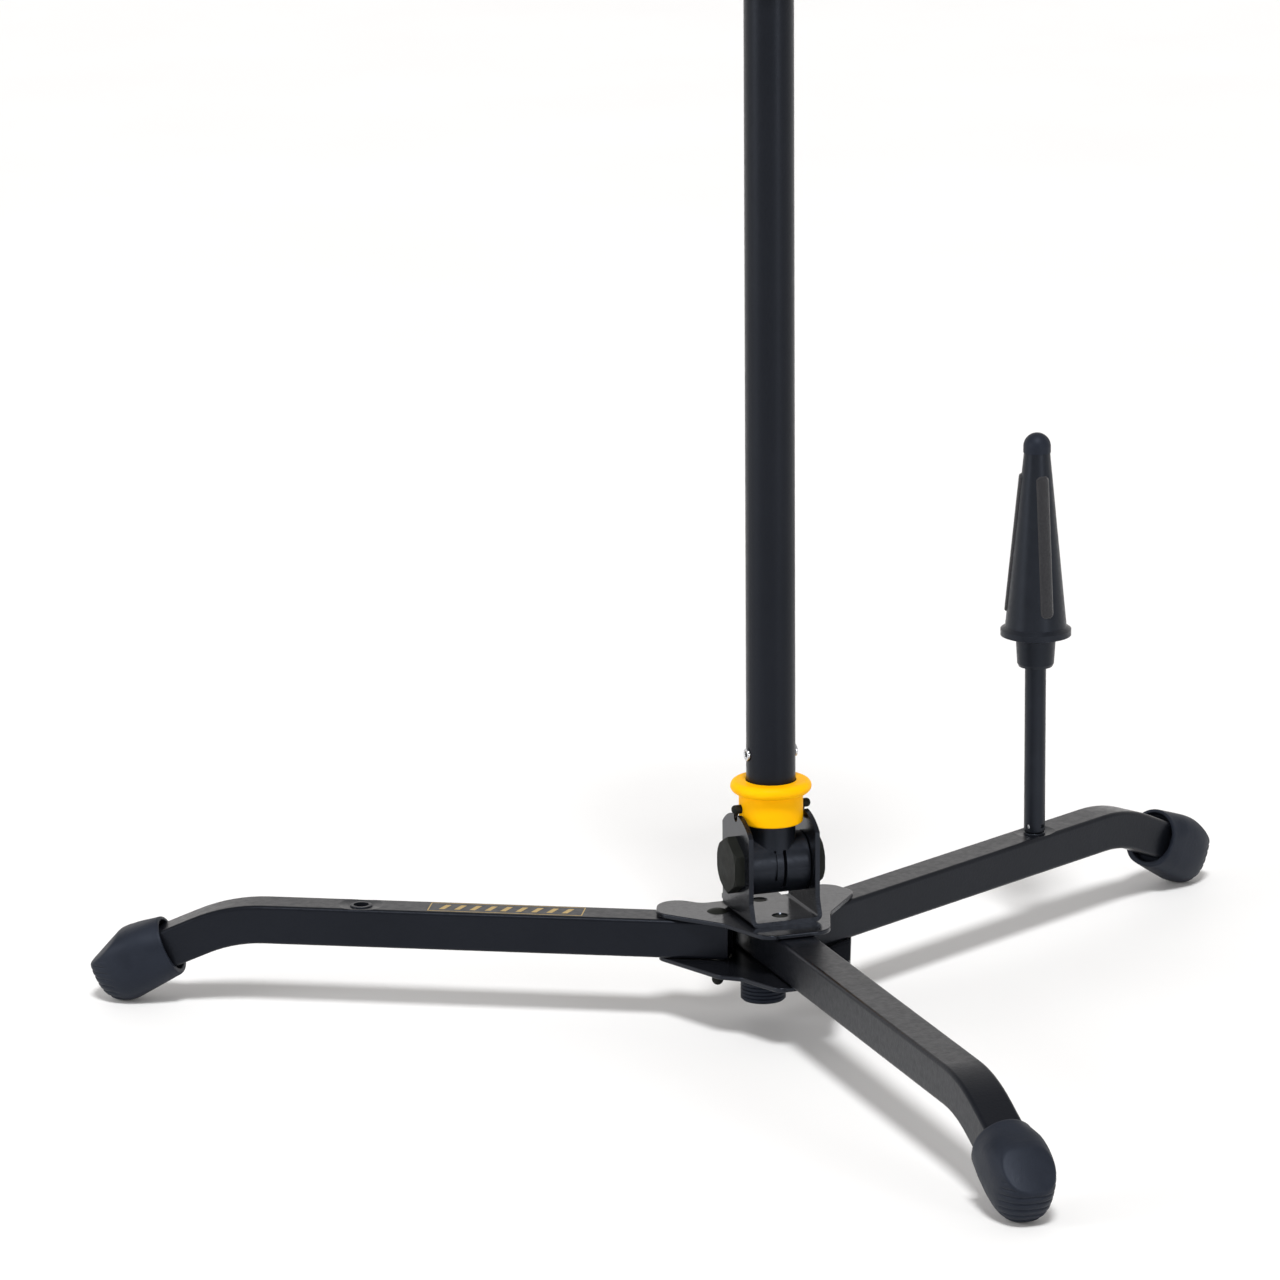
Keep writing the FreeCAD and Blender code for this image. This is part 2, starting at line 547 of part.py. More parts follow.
def clamp_knob():
    """A five-lobed knob on the clamp screw."""
    start, end, lobes = BOSS_END + 1.0, BOSS_END + 19.0, 5
    grip = rod(13.0, start + 5.0, end, CLAMP_SCREW_HEIGHT)
    knob = [grip]
    for k in range(lobes):
        angle = math.radians(90 + 360 * k / lobes)
        y, z = 12.0 * math.cos(angle), 12.0 * math.sin(angle)
        knob.append(rod(6.0, start + 5.0, end, CLAMP_SCREW_HEIGHT + z, y))
    neck = rod(8.0, start, start + 5.0, CLAMP_SCREW_HEIGHT)
    knob = join(*knob, neck)
    return knob.cut(rod(SCREW_RADIUS, start - 1, 44.0, CLAMP_SCREW_HEIGHT))


def tube_bushing():
    """The nylon bushing that guides the inner tube in the top of the lower tube."""
    sleeve = join(cylinder(POST_BORE - 0.05, POST_TOP - 45, POST_TOP), cylinder(14.8, POST_TOP, POST_TOP + 3))
    sleeve = sleeve.cut(cylinder(INNER_RADIUS + RUNNING, POST_TOP - 50, POST_TOP + 5))
    return sleeve.cut(rod(SCREW_RADIUS + 0.4, 5, 20, CLAMP_SCREW_HEIGHT))


# Telescoping tube and bell rest

INNER_LOW = 520.0
REST_LOW = INNER_TOP - 24.0
DISC = INNER_TOP + 34.0


def inner_tube():
    """The telescoping tube."""
    return ring(INNER_RADIUS, INNER_RADIUS - 1.5, INNER_LOW, INNER_TOP)


def tube_glide():
    """The plastic end of the inner tube that slides inside the lower tube."""
    body = join(cylinder(POST_BORE - FREE, INNER_LOW - 12, INNER_LOW),
                cylinder(INNER_RADIUS - 1.55, INNER_LOW, INNER_LOW + 18))
    return body.cut(cylinder(8.0, INNER_LOW - 12, INNER_LOW + 18))


def bell_rest():
    """A hollow moulded rest: socket over the tube, broad disc for the bell rim, and a guide cone."""
    outer = turned([(0, REST_LOW), (16.5, REST_LOW), (17.5, REST_LOW + 2), (17.5, INNER_TOP + 6),
                    (22, INNER_TOP + 16), (36, DISC - 7), (54, DISC - 3), (56, DISC - 1), (56, DISC + 4),
                    (54, DISC + 6), (52, DISC + 6), (51, DISC + 3), (35, DISC + 3), (31, DISC + 6),
                    (26, DISC + 18), (15, DISC + 62), (12, DISC + 72), (0, DISC + 72)])
    cavity = turned([(0, INNER_TOP + 4), (9, INNER_TOP + 4), (20, INNER_TOP + 18), (30, DISC - 4),
                     (29, DISC + 3), (23.2, DISC + 17), (12.2, DISC + 62), (9.5, DISC + 69), (0, DISC + 69)])
    body = outer.cut(cavity).cut(cylinder(INNER_RADIUS + 0.02, REST_LOW, INNER_TOP + 0.02))
    body = body.cut(cylinder(9.0, INNER_TOP - 1, INNER_TOP + 5))
    return body.cut(rod(2.0, 0, 20, INNER_TOP - 12))


def bell_rest_screw():
    """The small screw that holds the rest on the tube."""
    return join(rod(1.95, INNER_RADIUS + 0.05, 18.0, INNER_TOP - 12), rod(3.4, 17.6, 19.2, INNER_TOP - 12))


def bell_rest_pad():
    """The soft ring on which the bell rim stands."""
    return ring(50.0, 36.0, DISC + 3.1, DISC + 8.0)


def bell_rest_cap():
    """The rubber cap on the tip of the guide cone."""
    top = DISC + 72
    cap = join(cylinder(13.0, top + 0.1, top + 3), Part.makeSphere(13.0, Vector(0, 0, top - 3)))
    return cap.common(cylinder(20, top + 0.1, top + 20))


# Trumpet peg

STEM_RADIUS = 6.9
STEM_LOW = LEG_TOP + 0.1
STEM_BORE = STEM_LOW + 22.0   # top of the thread in the stem
CROSS_HEIGHT = STEM_LOW + 4.5
CROSS_RADIUS = 1.5
STEM_TOP = 202.0
STUD_LOW = LEG_TOP - 17.0
CONE_TOP = 322.0


def at_peg(shape):
    """A part of the peg moved from the post axis to the right leg's socket."""
    x, y = at_pivot(RIGHT, PEG_OFFSET)
    shape.translate(Vector(x, y, 0))
    return shape


def cross_hole(angle):
    """A hole across the peg, just above its foot."""
    return around(rod(CROSS_RADIUS, -20, 20, CROSS_HEIGHT), angle)


def peg_stem():
    """The round stem of the peg, drilled twice across its foot."""
    bevel = 0.8
    stem = turned([(0, STEM_LOW), (STEM_RADIUS - bevel, STEM_LOW), (STEM_RADIUS, STEM_LOW + bevel),
                   (STEM_RADIUS, STEM_TOP - bevel), (STEM_RADIUS - bevel, STEM_TOP), (0, STEM_TOP)])
    stem = stem.cut(cylinder(THREAD_RADIUS - RUNNING, STEM_LOW, STEM_BORE))
    return at_peg(stem.cut(cross_hole(RIGHT)).cut(cross_hole(RIGHT + 90.0)))


def peg_stud():
    """The threaded stud that screws into the socket, drilled for the cross pin."""
    stud = cylinder(THREAD_RADIUS - RUNNING, STUD_LOW, STEM_BORE)
    return at_peg(stud.cut(cross_hole(RIGHT)))


def peg_cross_pin():
    """The sunk pin that locks stud and stem together."""
    reach = STEM_RADIUS - 0.9
    return at_peg(around(rod(CROSS_RADIUS - 0.02, -reach, reach, CROSS_HEIGHT), RIGHT))


def cone_radius(height):
    """Outer radius of the peg's cone at a height."""
    return 20.5 - 12.0 * (height - STEM_TOP) / (CONE_TOP - STEM_TOP)


def peg_cone():
    """The hollow cone that goes up the trumpet's bell."""
    low = STEM_TOP - 22
    outer = turned([(0, low), (11, low), (12, low + 2), (13, STEM_TOP - 4), (23, STEM_TOP - 1),
                    (23, STEM_TOP + 3), (cone_radius(STEM_TOP + 5), STEM_TOP + 5),
                    (cone_radius(CONE_TOP), CONE_TOP), (0, CONE_TOP)])
    cavity = turned([(0, STEM_TOP + 6), (15.5, STEM_TOP + 6), (6.2, CONE_TOP - 3), (0, CONE_TOP - 3)])
    return at_peg(outer.cut(cavity).cut(cylinder(STEM_RADIUS + 0.02, low, STEM_TOP + 0.02)))


def peg_pads():
    """Three soft strips along the cone."""
    low, high, thick = STEM_TOP + 14, CONE_TOP - 14, 1.6
    gap = 0.1
    shell = turned([(cone_radius(low) + gap, low), (cone_radius(low) + thick, low),
                    (cone_radius(high) + thick, high), (cone_radius(high) + gap, high)])
    bar = block((0, 40), (-4.5, 4.5), (low, high))
    strips = [shell.common(around(bar, 30 + 120 * k)) for k in range(3)]
    return at_peg(Part.makeCompound([strip.Solids[0] for strip in strips]))


def peg_tip():
    """The rubber tip of the peg."""
    radius = cone_radius(CONE_TOP) + 0.4
    shoulder = CONE_TOP + 4
    dome = Part.makeSphere(radius, Vector(0, 0, shoulder)).common(cylinder(20, shoulder, shoulder + 20))
    return at_peg(join(dome, cylinder(radius, CONE_TOP + 0.1, shoulder)))


def all_nodes():
    """Every separate piece by its node name, about the post axis."""
    nodes = {
        "top_plate": hub_plate(HUB_ROOF, TOP_OUTLINE),
        "bottom_plate": bottom_plate(),
        "fixed_leg": fixed_leg(),
        "fixed_leg_boot": boot(FIXED, FIXED_BEND),
        "fixed_leg_rivets": fixed_rivets(),
        "rear_bumper": rear_bumper(),
        "hinge_bracket": hinge_bracket(),
        "pivot_bolt": pivot_bolt(),
        "pivot_nut": pivot_nut(),
        "post_knuckle": post_knuckle(),
        "hinge_bushes": hinge_bushes(),
        "post_tube": post_tube(),
        "retaining_rivet": retaining_rivet(),
        "spring_seat": spring_seat(),
        "lock_spring": lock_spring(),
        "spring_cup": spring_cup(),
        "release_collar": release_collar(),
        "lock_pin": lock_pin(),
        "tube_bushing": tube_bushing(),
        "clamp_collar": clamp_collar(),
        "clamp_nut": clamp_nut(),
        "clamp_screw": clamp_screw(),
        "clamp_knob": clamp_knob(),
        "inner_tube": inner_tube(),
        "tube_glide": tube_glide(),
        "bell_rest": bell_rest(),
        "bell_rest_screw": bell_rest_screw(),
        "bell_rest_pad": bell_rest_pad(),
        "bell_rest_cap": bell_rest_cap(),
        "peg_stem": peg_stem(),
        "peg_stud": peg_stud(),
        "peg_cross_pin": peg_cross_pin(),
        "peg_cone": peg_cone(),
        "peg_pads": peg_pads(),
        "peg_tip": peg_tip(),
    }
    for side, angle in (("left", LEFT), ("right", RIGHT)):
        nodes[side + "_leg"] = swivel_leg(angle)
        nodes[side + "_leg_boot"] = boot(angle, SWIVEL_BEND)
        nodes[side + "_peg_socket"] = peg_socket(angle)
        nodes[side + "_pivot_rivet"] = pivot_rivet(angle)
        nodes[side + "_leg_washers"] = leg_washers(angle)
    return nodes


def centre_shift(nodes):
    """How far along Y the stand moves to put the middle of its footprint at the origin."""
    box = Part.makeCompound(list(nodes.values())).optimalBoundingBox(False)
    return -(box.YMin + box.YMax) / 2


def main():
    os.makedirs("parts", exist_ok=True)
    nodes = all_nodes()
    shift = centre_shift(nodes)
    for name, shape in nodes.items():
        shape.translate(Vector(0, shift, 0))
        shape.exportStep("parts/" + name + ".step")
    print("post axis at y =", round(shift, 4), "in", len(nodes), "nodes")


if __name__ == "__main__":
    main()
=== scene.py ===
import json
import math

import bmesh
import bpy
import numpy as np
from mathutils import Matrix, Vector, noise


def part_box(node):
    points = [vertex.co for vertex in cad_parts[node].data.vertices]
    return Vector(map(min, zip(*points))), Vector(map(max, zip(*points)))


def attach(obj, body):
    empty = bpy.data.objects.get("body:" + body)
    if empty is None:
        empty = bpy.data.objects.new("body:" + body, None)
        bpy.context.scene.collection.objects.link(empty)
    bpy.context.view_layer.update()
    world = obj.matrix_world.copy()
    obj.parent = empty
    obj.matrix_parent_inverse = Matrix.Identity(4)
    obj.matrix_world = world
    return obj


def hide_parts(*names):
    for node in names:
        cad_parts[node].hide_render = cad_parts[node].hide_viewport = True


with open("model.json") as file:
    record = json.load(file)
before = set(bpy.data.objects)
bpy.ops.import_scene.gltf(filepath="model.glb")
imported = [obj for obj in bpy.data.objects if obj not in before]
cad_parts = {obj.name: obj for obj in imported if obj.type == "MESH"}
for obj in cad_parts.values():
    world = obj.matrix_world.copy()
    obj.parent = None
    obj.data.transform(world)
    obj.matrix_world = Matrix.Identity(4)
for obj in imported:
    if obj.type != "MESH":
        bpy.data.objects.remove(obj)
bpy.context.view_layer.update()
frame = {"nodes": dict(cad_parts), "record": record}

MM = 0.001


def middle(node):
    """The middle of a CAD node's box."""
    low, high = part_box(node)
    return (low + high) / 2


# Places taken from the frame
POST = middle("post_tube")
POST.z = 0.0
LEG_SIZE = 25.0 * MM
LEG_MID = middle("left_leg_washers").z
LEG_TOP = LEG_MID + LEG_SIZE / 2
SPLAY = math.radians(28.0)
ANGLES = {"fixed_leg": math.radians(-90.0), "left_leg": math.pi - SPLAY, "right_leg": SPLAY}


# ---------------------------------------------------------------- materials

class Look:
    """A material with a principled shader, and short names for the nodes used below."""

    def __init__(self, name, color, roughness, **sockets):
        self.material = bpy.data.materials.new(name)
        self.material.use_nodes = True
        self.material.diffuse_color = (*color, 1.0)
        self.tree = self.material.node_tree
        self.shader = self.tree.nodes["Principled BSDF"]
        self.shader.inputs["Base Color"].default_value = (*color, 1.0)
        self.shader.inputs["Roughness"].default_value = roughness
        for socket, value in sockets.items():
            self.shader.inputs[socket.replace("_", " ")].default_value = value
        self.place = self.tree.nodes.new("ShaderNodeTexCoord").outputs["Object"]
        self.normal = None

    def node(self, kind, inputs=(), **settings):
        """A new shader node, its inputs linked to sockets or set to values."""
        made = self.tree.nodes.new("ShaderNode" + kind)
        for key, value in settings.items():
            setattr(made, key, value)
        for key, value in dict(inputs).items():
            if isinstance(value, bpy.types.NodeSocket):
                self.tree.links.new(value, made.inputs[key])
            else:
                made.inputs[key].default_value = value
        return made

    def stretched(self, scale):
        """The object's own coordinates, stretched by a scale along each axis."""
        return self.node("Mapping", {"Vector": self.place, "Scale": scale}).outputs["Vector"]

    def noise(self, scale, detail=2.0, roughness=0.5, place=None):
        """A noise from 0 to 1; scale is in features per metre."""
        inputs = {"Vector": place or self.place, "Scale": scale, "Detail": detail, "Roughness": roughness}
        return self.node("TexNoise", inputs).outputs["Fac"]

    def cells(self, scale):
        """The distance to the nearest of many scattered points."""
        return self.node("TexVoronoi", {"Vector": self.place, "Scale": scale}).outputs["Distance"]

    def spread(self, value, low, high, new_low, new_high):
        """A value from one range laid out over another."""
        inputs = {"Value": value, "From Min": low, "From Max": high, "To Min": new_low, "To Max": new_high}
        return self.node("MapRange", inputs).outputs["Result"]

    def shades(self, value, *stops):
        """A colour from a value, by (position, colour) stops."""
        ramp = self.node("ValToRGB", {"Fac": value})
        elements = ramp.color_ramp.elements
        while len(elements) < len(stops):
            elements.new(0.5)
        for element, (position, color) in zip(elements, stops):
            element.position = position
            element.color = (*color, 1.0)
        return ramp.outputs["Color"]

    def feed(self, socket, value):
        """Links a value to the shader."""
        self.tree.links.new(value, self.shader.inputs[socket])

    def bump(self, height, distance, strength=1.0):
        """Adds a bump on top of those already there; distance is in metres."""
        inputs = {"Height": height, "Distance": distance, "Strength": strength}
        if self.normal:
            inputs["Normal"] = self.normal
        self.normal = self.node("Bump", inputs).outputs["Normal"]
        self.feed("Normal", self.normal)


BLUISH = (0.74, 0.82, 1.0, 1.0)     # tint of the dark parts' highlights


def powder_coat():
    """Satin blue-black powder coat with fine orange peel."""
    look = Look("powder_coat", (0.0042, 0.0048, 0.0066), 0.32, Specular_IOR_Level=0.20,
                Specular_Tint=BLUISH)
    drift = look.noise(14.0, 4.0, 0.6)
    dark, pale = (0.30, (0.0034, 0.0039, 0.0055)), (0.70, (0.0052, 0.0058, 0.0080))
    look.feed("Base Color", look.shades(drift, dark, pale))
    look.feed("Roughness", look.spread(look.noise(240.0, 3.0), 0.3, 0.7, 0.28, 0.38))
    look.bump(look.noise(620.0, 2.0, 0.4), 0.00006)
    look.bump(look.noise(2600.0, 2.0), 0.000016)
    return look.material


def plate_paint():
    """Smooth paint on pressed sheet, glossier than the tubes."""
    look = Look("plate_paint", (0.0055, 0.0060, 0.0078), 0.2, Specular_IOR_Level=0.32,
                Specular_Tint=BLUISH)
    drift = look.noise(30.0, 4.0, 0.6)
    dark, pale = (0.30, (0.0045, 0.0050, 0.0066)), (0.72, (0.0075, 0.0080, 0.0100))
    look.feed("Base Color", look.shades(drift, dark, pale))
    look.feed("Roughness", look.spread(look.noise(300.0, 3.0), 0.3, 0.7, 0.16, 0.26))
    look.bump(look.noise(900.0, 2.0, 0.5), 0.00003)
    return look.material


def black_zinc():
    """Matte greenish black of the forged hexagons, slightly mottled."""
    look = Look("black_zinc", (0.008, 0.009, 0.008), 0.6, Specular_IOR_Level=0.12)
    mottle = look.noise(160.0, 5.0, 0.65)
    dark, pale = (0.28, (0.006, 0.007, 0.006)), (0.75, (0.012, 0.013, 0.011))
    look.feed("Base Color", look.shades(mottle, dark, pale))
    look.feed("Roughness", look.spread(mottle, 0.3, 0.7, 0.50, 0.68))
    look.bump(look.noise(700.0, 4.0, 0.6), 0.00008)
    return look.material


def rubber():
    """Matte blue-black moulded rubber with a little bloom."""
    look = Look("rubber", (0.0100, 0.0122, 0.0185), 0.55, Specular_IOR_Level=0.22,
                Specular_Tint=BLUISH)
    bloom = look.noise(55.0, 5.0, 0.62)
    dark, pale = (0.30, (0.0080, 0.0100, 0.0155)), (0.80, (0.0135, 0.0165, 0.0245))
    look.feed("Base Color", look.shades(bloom, dark, pale))
    look.feed("Roughness", look.spread(bloom, 0.3, 0.75, 0.46, 0.64))
    look.bump(look.noise(420.0, 3.0, 0.5), 0.00010)
    look.bump(look.cells(2400.0), 0.000020)
    return look.material


def yellow_plastic():
    """Saturated yellow moulded plastic, smooth with a fine mould grain."""
    look = Look("yellow_plastic", (0.92, 0.45, 0.0), 0.5, Specular_IOR_Level=0.05)
    drift = look.noise(70.0, 3.0, 0.5)
    dark, pale = (0.30, (0.90, 0.435, 0.0)), (0.72, (0.94, 0.465, 0.0))
    look.feed("Base Color", look.shades(drift, dark, pale))
    look.feed("Roughness", look.spread(look.noise(500.0, 3.0), 0.3, 0.7, 0.42, 0.55))
    look.bump(look.noise(1500.0, 2.0, 0.5), 0.00002)
    return look.material


def black_plastic():
    """Black moulded plastic with a spark-eroded grain."""
    look = Look("black_plastic", (0.0062, 0.0074, 0.0100), 0.36, Specular_IOR_Level=0.26,
                Specular_Tint=BLUISH)
    drift = look.noise(60.0, 4.0, 0.6)
    dark, pale = (0.30, (0.0052, 0.0062, 0.0085)), (0.75, (0.0085, 0.0098, 0.0130))
    look.feed("Base Color", look.shades(drift, dark, pale))
    look.feed("Roughness", look.spread(look.noise(350.0, 3.0), 0.3, 0.7, 0.30, 0.44))
    look.bump(look.noise(1800.0, 3.0, 0.6), 0.000045)
    return look.material


def zinc_steel():
    """Bright zinc plate with faint turning lines."""
    look = Look("zinc_steel", (0.55, 0.56, 0.58), 0.28, Metallic=1.0)
    patches = look.noise(220.0, 4.0, 0.6)
    dark, pale = (0.30, (0.46, 0.47, 0.49)), (0.75, (0.64, 0.65, 0.67))
    look.feed("Base Color", look.shades(patches, dark, pale))
    look.feed("Roughness", look.spread(patches, 0.3, 0.7, 0.22, 0.40))
    lines = look.noise(260.0, 2.0, 0.5, look.stretched((0.4, 0.4, 14.0)))
    look.bump(lines, 0.00003)
    return look.material


def nylon():
    """Natural nylon."""
    look = Look("nylon", (0.60, 0.58, 0.52), 0.45, Subsurface_Weight=0.1)
    drift = look.noise(120.0, 3.0)
    dark, pale = (0.3, (0.56, 0.54, 0.48)), (0.7, (0.64, 0.62, 0.56))
    look.feed("Base Color", look.shades(drift, dark, pale))
    look.bump(look.noise(900.0, 3.0), 0.00003)
    return look.material


def felt():
    """Black wool felt: matted fibres under a soft sheen."""
    look = Look("felt", (0.014, 0.014, 0.016), 0.95, Sheen_Weight=0.35, Sheen_Roughness=0.5,
                Specular_IOR_Level=0.2)
    fibres = look.noise(900.0, 6.0, 0.75, look.stretched((1.0, 1.0, 2.4)))
    dark, pale = (0.32, (0.008, 0.008, 0.010)), (0.70, (0.034, 0.034, 0.038))
    look.feed("Base Color", look.shades(fibres, dark, pale))
    look.bump(fibres, 0.00035)
    look.bump(look.noise(220.0, 3.0, 0.6), 0.0003)
    return look.material


def gold_print():
    """Dull gold screen print."""
    look = Look("gold_print", (0.52, 0.36, 0.12), 0.45, Metallic=0.6)
    grain = look.noise(1600.0, 3.0, 0.6)
    dark, pale = (0.25, (0.40, 0.27, 0.08)), (0.75, (0.60, 0.43, 0.16))
    look.feed("Base Color", look.shades(grain, dark, pale))
    look.bump(grain, 0.00001)
    return look.material


MATERIALS = {
    "black_powder_coat": powder_coat(),
    "black_plate": plate_paint(),
    "dark_zinc": black_zinc(),
    "rubber": rubber(),
    "yellow_plastic": yellow_plastic(),
    "black_plastic": black_plastic(),
    "steel": zinc_steel(),
    "nylon": nylon(),
    "felt": felt(),
}
GOLD = gold_print()


def dress_cad_nodes():
    """Gives each CAD node the material of its slot."""
    for row in frame["record"]["subparts"]:
        data = frame["nodes"][row["node"]].data
        if not data.materials:
            data.materials.append(None)
        for index in range(len(data.materials)):
            data.materials[index] = MATERIALS[row["material_slot"]]


dress_cad_nodes()


# ---------------------------------------------------------------- mesh building

def add_piece(name, rings, slot, body, nodes, sharp=40.0, closed=False):
    """A smooth mesh through rings of points, with a fan at each end unless its rings close."""
    rings = np.asarray(rings, float)
    count, around = rings.shape[:2]
    points = rings.reshape(-1, 3)
    faces = []
    for ring in range(count if closed else count - 1):
        here, there = ring * around, (ring + 1) % count * around
        for k in range(around):
            after = (k + 1) % around
            faces.append((here + k, here + after, there + after, there + k))
    if not closed:
        points = np.vstack([points, rings[0].mean(0), rings[-1].mean(0)])
        first, last = len(points) - 2, len(points) - 1
        for k in range(around):
            after = (k + 1) % around
            faces.append((first, after, k))
            faces.append((last, last - 1 - around + k, last - 1 - around + after))
    return add_mesh(name, points, faces, slot, body, nodes, sharp)


def add_mesh(name, points, faces, slot, body, nodes=(), sharp=40.0):
    """A mesh piece with its slot's material, riding on a body in place of its CAD nodes.

    Without a slot the piece is printed in gold.
    """
    mesh = bpy.data.meshes.new(name)
    mesh.from_pydata([tuple(point) for point in points], [], faces)
    build = bmesh.new()
    build.from_mesh(mesh)
    bmesh.ops.recalc_face_normals(build, faces=build.faces)
    build.to_mesh(mesh)
    build.free()
    mesh.shade_smooth()
    mesh.set_sharp_from_angle(angle=math.radians(sharp))
    mesh.materials.append(MATERIALS[slot] if slot else GOLD)
    piece = bpy.data.objects.new(name, mesh)
    bpy.context.scene.collection.objects.link(piece)
    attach(piece, body)
    if nodes:
        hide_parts(*nodes)
    return piece


def smooth_step(value, low, high):
    """0 below low, 1 above high, and a smooth rise between them."""
    part = np.clip((value - low) / (high - low), 0.0, 1.0)
    return part * part * (3.0 - 2.0 * part)


# ---------------------------------------------------------------- rubber boots

# Lengths of a boot are measured from the middle of its mouth: along its axis, up and across.
BEND = math.radians(24.0)             # of a boot's axis below the level
MOUTH_RADIUS = 19.0 * MM
SOLE_MOUTH = 19.6 * MM                # below the axis, at the mouth
SWELL, SOLE_SWELL = 0.085, 0.125      # widening per length, of the sides and the sole
WIDEST, TALLEST, DEEPEST = 20.1 * MM, 20.9 * MM, 23.6 * MM
NOSE_NARROWING = 2.6 * MM
NARROWS_FROM, NARROWS_TO = 22.0 * MM, 48.0 * MM
ROUND_MOUTH_POWER, ROUNDING_LENGTH = 2.0, 18.0 * MM
SOLE_POWER, TOE_POWER = 2.5, 2.4
BODY_SCALE = 21.0 * MM                # turns the body's ratio into a distance
BOOT_FLATS = 19.6 * MM                # flat sides, from the middle
NOSE_FROM, NOSE_LENGTH = 32.5 * MM, 21.8 * MM
NOSE_REACH = 50.27 * MM               # level distance from the mouth's middle to the nose
SWIVEL_LONGER = 8.0 * MM              # swivel legs than the fixed leg
BEVEL_FOOT, BEVEL_TOP = 30.8 * MM, 19.5 * MM
BEVEL_LEAN, BEVEL_SCALE = 2.15, 0.42  # run per rise, and what makes it a distance
BEVEL_SAG, BEVEL_HALF = 3.0 * MM, 12.5 * MM
GROOVE_PITCH = 4.2 * MM
GROOVE_DEPTH = 0.65 * MM
GROOVE_START, GROOVE_WIDTH = 0.4, 0.15    # in pitches
GROOVES_FROM, GROOVES_FULL = 39.0 * MM, 44.0 * MM
BEVEL_FADE = (0.8 * MM, 2.0 * MM)         # the grooves fade in below the bevel
SOLE_FADE = (0.6 * MM, 1.6 * MM)          # and above the ground
EDGE_ROUNDING = 0.35 * MM
HEART = np.array([30.0 * MM, 0.0, 0.0])   # inside a boot, where its surface is seen from
RIM_RADIUS, BEYOND_BOOT = 17.3 * MM, 60.0 * MM
BORE_DEPTH, BORE_CLEARANCE = 29.0 * MM, 0.1 * MM
BORE_SQUARENESS = 14
BORE_LEAD = 0.3 * MM                      # widening at the bore's mouth
RECESS_DEPTH, RECESS_RADIUS = 5.0 * MM, 16.6 * MM
RECESS_FILLET, RIM_FLARE = 0.8 * MM, 0.4 * MM
BOOT_AROUND = 216                     # points around a boot


def boot_rise(along, up, height):
    """Height above the ground of a point along and above a boot's axis."""
    return height - along * math.sin(BEND) + up * math.cos(BEND)


def boot_grooves(along, up, bevel, height):
    """Depth of the level grooves round the toe, below its bevel."""
    rise = boot_rise(along, up, height)
    phase = (rise / GROOVE_PITCH - GROOVE_START) % 1.0
    front = smooth_step(along, GROOVES_FROM, GROOVES_FULL)
    below_bevel = smooth_step(-bevel, *BEVEL_FADE)
    above_sole = smooth_step(rise, *SOLE_FADE)
    profile = np.exp(-((phase - 0.5) / GROOVE_WIDTH) ** 2)
    return GROOVE_DEPTH * profile * front * below_bevel * above_sole


def boot_shape(place, height):
    """About how far points (along, across, up from the mouth's middle) lie outside a boot."""
    along, across, up = place[..., 0], np.abs(place[..., 1]), place[..., 2]
    wide = np.minimum(MOUTH_RADIUS + SWELL * along, WIDEST)
    wide = wide - NOSE_NARROWING * smooth_step(along, NARROWS_FROM, NARROWS_TO)
    tall = np.minimum(MOUTH_RADIUS + SWELL * along, TALLEST)
    deep = np.minimum(SOLE_MOUTH + SOLE_SWELL * along, DEEPEST)
    power = ROUND_MOUTH_POWER + smooth_step(along, 0.0, ROUNDING_LENGTH)
    above = ((across / wide) ** power + (np.abs(up) / tall) ** power) ** (1.0 / power)
    below = ((across / wide) ** SOLE_POWER + (np.abs(up) / deep) ** SOLE_POWER) ** (1 / SOLE_POWER)
    section = np.where(up > 0.0, above, below)
    toe = np.clip((along - NOSE_FROM) / NOSE_LENGTH, 0.0, None)
    body = ((toe ** TOE_POWER + section ** TOE_POWER) ** (1 / TOE_POWER) - 1.0) * BODY_SCALE
    arc = BEVEL_SAG * (across / BEVEL_HALF) ** 2
    bevel = BEVEL_SCALE * (along - BEVEL_FOOT - BEVEL_LEAN * (BEVEL_TOP - up) + arc)
    sides = np.stack([-along, across - BOOT_FLATS, body, bevel, -boot_rise(along, up, height)])
    outside = EDGE_ROUNDING * np.log(np.exp(sides / EDGE_ROUNDING).sum(0))
    return outside + boot_grooves(along, up, bevel, height)


def boot_outside(height, steps=140, halvings=22):
    """Rings over the outside of a boot, from the rim of its mouth to its nose."""
    polar = np.linspace(math.atan2(RIM_RADIUS, HEART[0]), math.pi, steps)[:, None]
    turn = np.linspace(0.0, 2 * math.pi, BOOT_AROUND, endpoint=False)[None, :]
    side = np.sin(polar)
    ray = np.stack([-np.cos(polar) + 0 * turn, side * np.cos(turn), side * np.sin(turn)], -1)
    near = np.zeros((steps, BOOT_AROUND))
    far = np.full((steps, BOOT_AROUND), BEYOND_BOOT)
    for _ in range(halvings):
        half = (near + far) / 2
        inside = boot_shape(HEART + half[..., None] * ray, height) < 0.0
        near, far = np.where(inside, half, near), np.where(inside, far, half)
    return HEART + near[..., None] * ray


